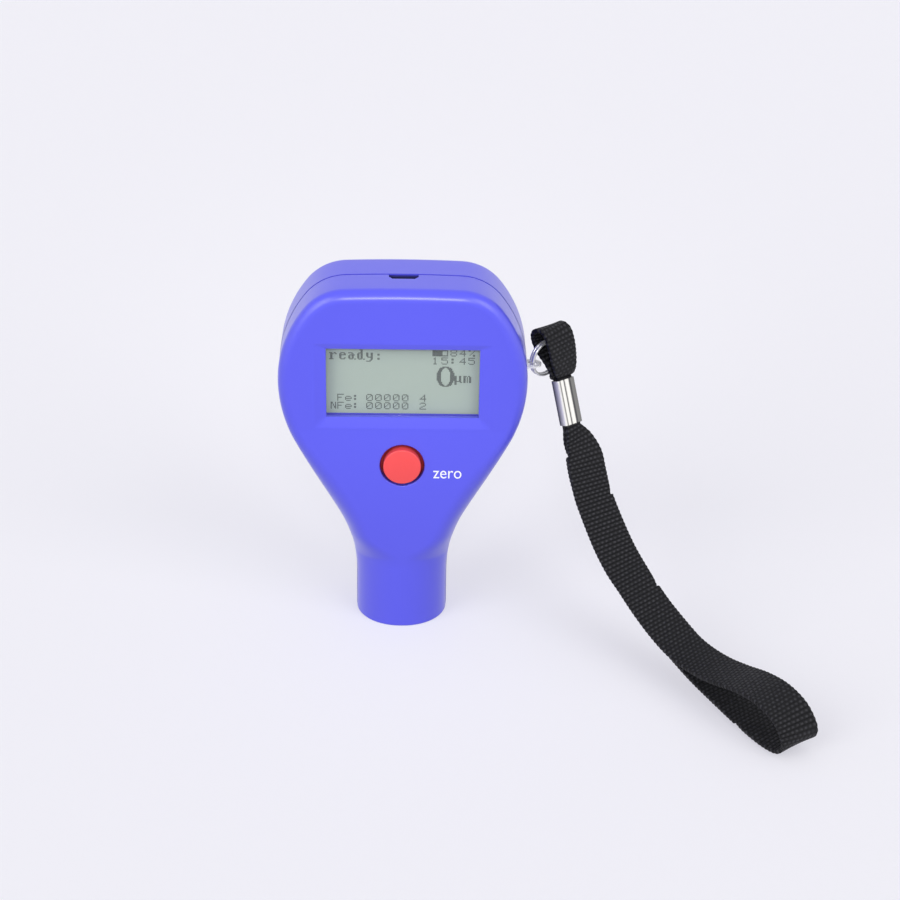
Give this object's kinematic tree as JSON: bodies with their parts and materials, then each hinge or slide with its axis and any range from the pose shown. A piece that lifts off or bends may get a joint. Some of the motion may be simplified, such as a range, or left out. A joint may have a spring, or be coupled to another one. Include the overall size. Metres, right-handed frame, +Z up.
{
  "type": "coating thickness gauge",
  "caption": "Hand-held coating thickness gauge: paddle-shaped moulded case on a round probe neck, with display, zero button, sprung probe, battery door and a wrist strap on a split ring.",
  "frame": {"origin": "the measuring point: the probe's tip in the plane of the neck's rim, on the neck's axis", "axes": "+Z up along the neck to the head, the display and the button face -Y, the strap's lug is on +X"},
  "size_m": [0.1396, 0.09, 0.1004],
  "materials": {
    "case_blue": "satin moulded",
    "window_clear": "polished",
    "lcd_grey": "satin",
    "light_white": "matte",
    "board_green": "solder mask",
    "chip_black": "matte",
    "steel": "plain",
    "button_red": "satin",
    "probe_black": "matte",
    "copper": "enamelled wire",
    "cell_wrap": "gloss wrap",
    "lug_bright": "plain",
    "ring_chrome": "bright plated",
    "webbing": "woven"
  },
  "bodies": {
    "gauge": {"front_shell": "case_blue", "rear_shell": "case_blue", "display_window": "window_clear", "lcd_panel": "lcd_grey", "lcd_backlight": "light_white", "main_board": "board_green", "controller_chip": "chip_black", "beeper": "chip_black", "usb_socket": "steel", "button_switch": "chip_black", "probe_guide": "probe_black", "probe_cap": "probe_black", "probe_spring": "steel", "cell_left": "cell_wrap", "cell_right": "cell_wrap", "cell_springs": "steel", "cell_contacts": "steel", "case_screws": "steel", "board_screws": "steel", "strap_lug": "lug_bright"},
    "button": {"zero_button": "button_red"},
    "probe": {"probe_holder": "probe_black", "probe_core": "steel", "probe_coil": "copper"},
    "door": {"battery_door": "case_blue"},
    "strap": {"split_ring": "ring_chrome", "strap_loop": "webbing", "strap_crimp": "ring_chrome", "strap_band": "webbing"}
  },
  "joints": [
    {"name": "button_press", "type": "slide", "parent": "gauge", "child": "button", "axis": [0, 1, 0], "range_m": [0, 0.0008], "stiffness_N_per_m": 400, "springref_m": -0.002},
    {"name": "probe_slide", "type": "slide", "parent": "gauge", "child": "probe", "axis": [0, 0, -1], "range_m": [0, 0.0015], "stiffness_N_per_m": 80, "springref_m": 0.004, "deforming": ["probe_spring"]},
    {"name": "door_hinge", "type": "hinge", "parent": "gauge", "child": "door", "pos_m": [0, 0.0116, 0.0453], "axis": [-1, 0, 0], "range_deg": [0, 80]},
    {"name": "strap_swing", "type": "hinge", "parent": "gauge", "child": "strap", "pos_m": [0.0346, 0, 0.0748], "axis": [0, 0, 1], "range_deg": [-40, 25]}
  ]
}
